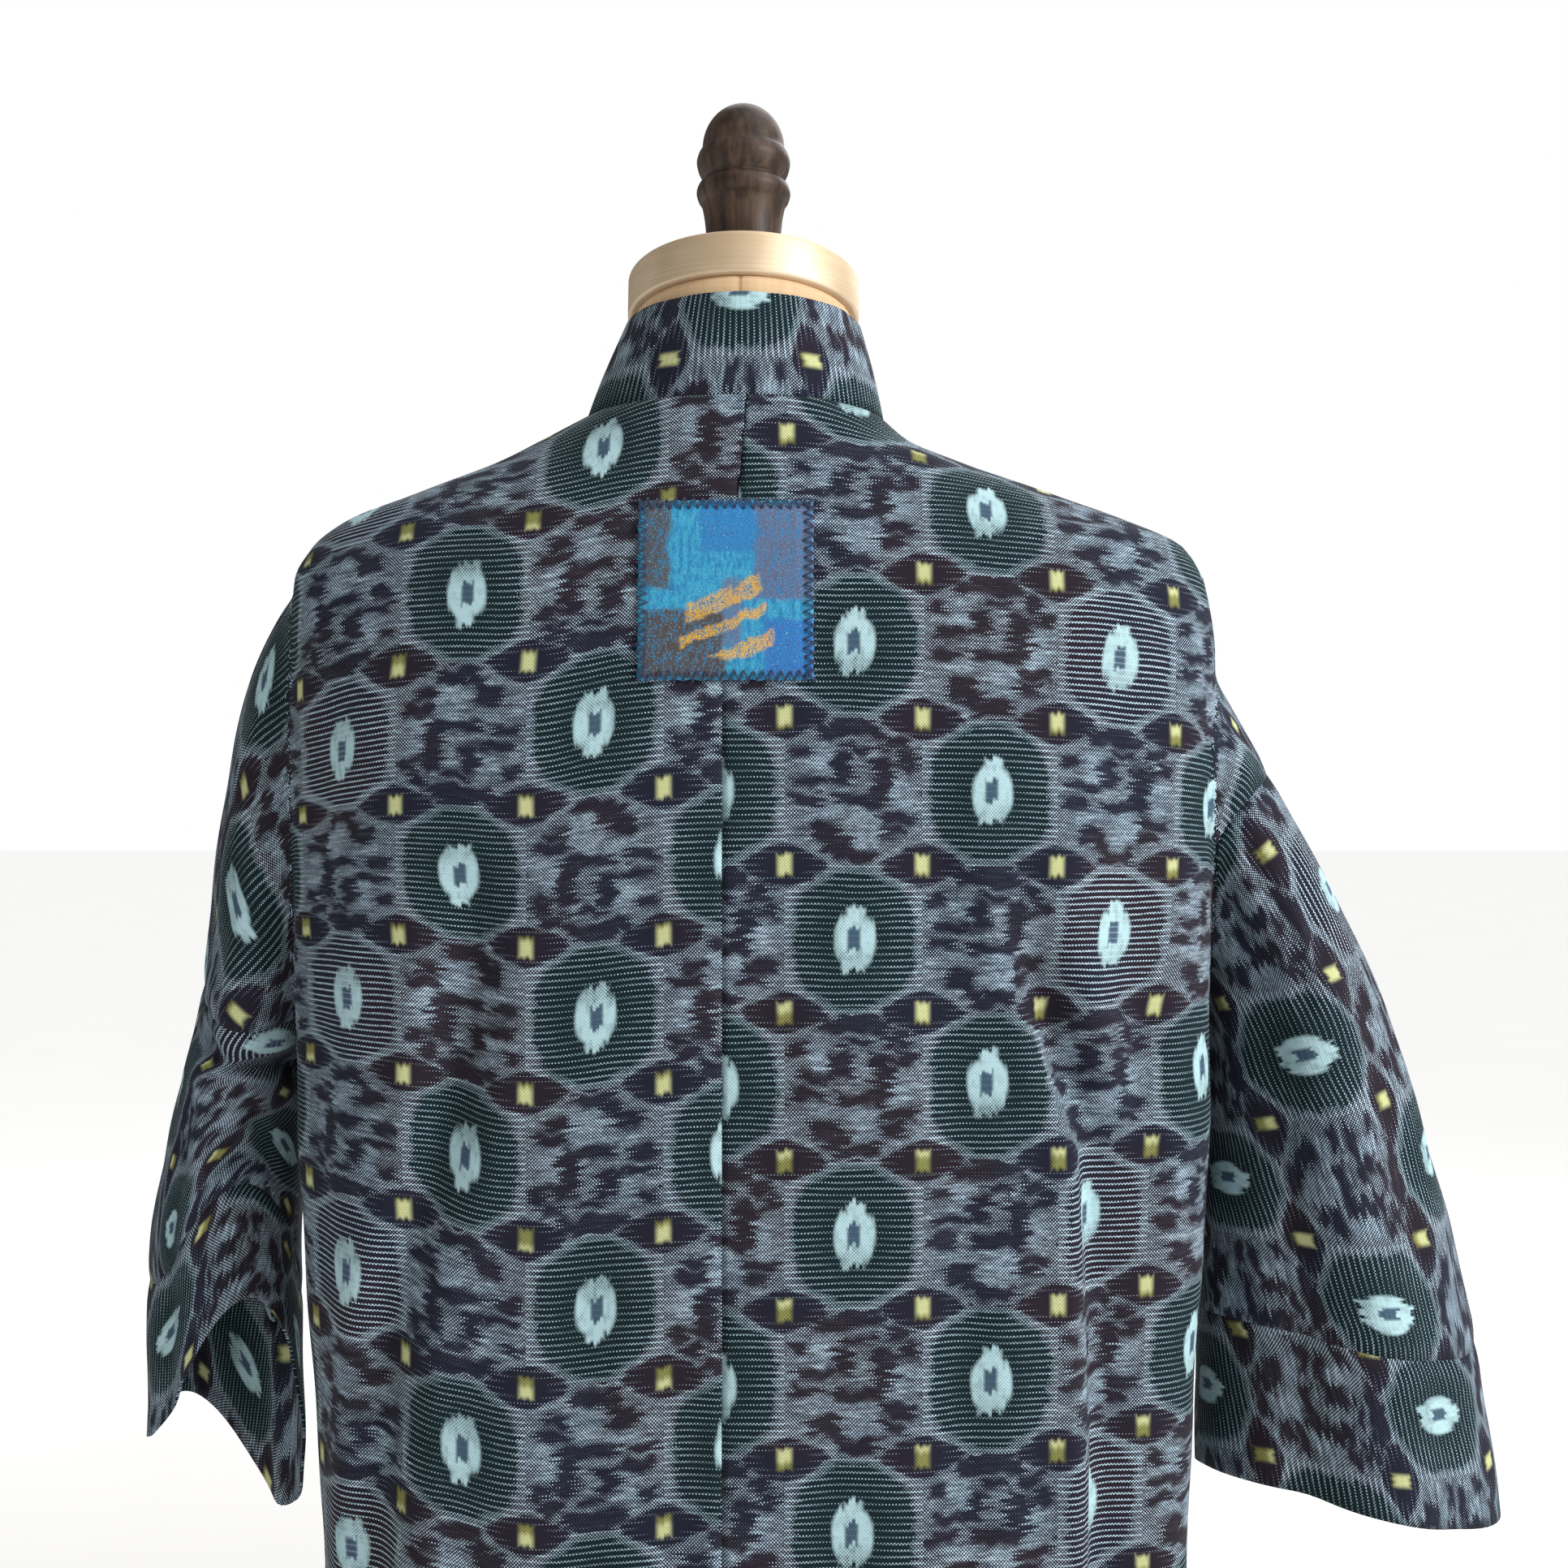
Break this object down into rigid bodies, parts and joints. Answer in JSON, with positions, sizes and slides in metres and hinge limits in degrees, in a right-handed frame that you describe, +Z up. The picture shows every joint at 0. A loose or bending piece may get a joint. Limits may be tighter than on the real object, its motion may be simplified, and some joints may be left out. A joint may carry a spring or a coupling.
{
  "type": "kimono jacket on a dress form",
  "caption": "Kasuri cotton kimono jacket with open front, standing neckband, wide cuffed sleeves and a back patch, worn by a limbless dress form on a pole and round base.",
  "frame": {"origin": "middle of the flat underside of the round base", "axes": "+Z up along the pole; the wearer faces -Y, the back of the jacket is +Y and the wearer's left is +X"},
  "size_m": [0.684, 0.42, 1.6002],
  "materials": {
    "kasuri_cotton": "matt ikat-dyed cotton",
    "painted_cotton": "matt painted cotton",
    "linen": "matt linen",
    "cap_metal": "brushed champagne",
    "turned_wood": "dark satin varnish",
    "stand_metal": "satin"
  },
  "bodies": {
    "root": {"body_left": "kasuri_cotton", "body_right": "kasuri_cotton", "sleeve_left": "kasuri_cotton", "sleeve_right": "kasuri_cotton", "cuff_left": "kasuri_cotton", "cuff_right": "kasuri_cotton", "neckband": "kasuri_cotton", "patch": "painted_cotton", "form_torso": "linen", "neck_cap": "cap_metal", "finial": "turned_wood", "pole": "stand_metal", "base": "stand_metal"}
  },
  "joints": []
}
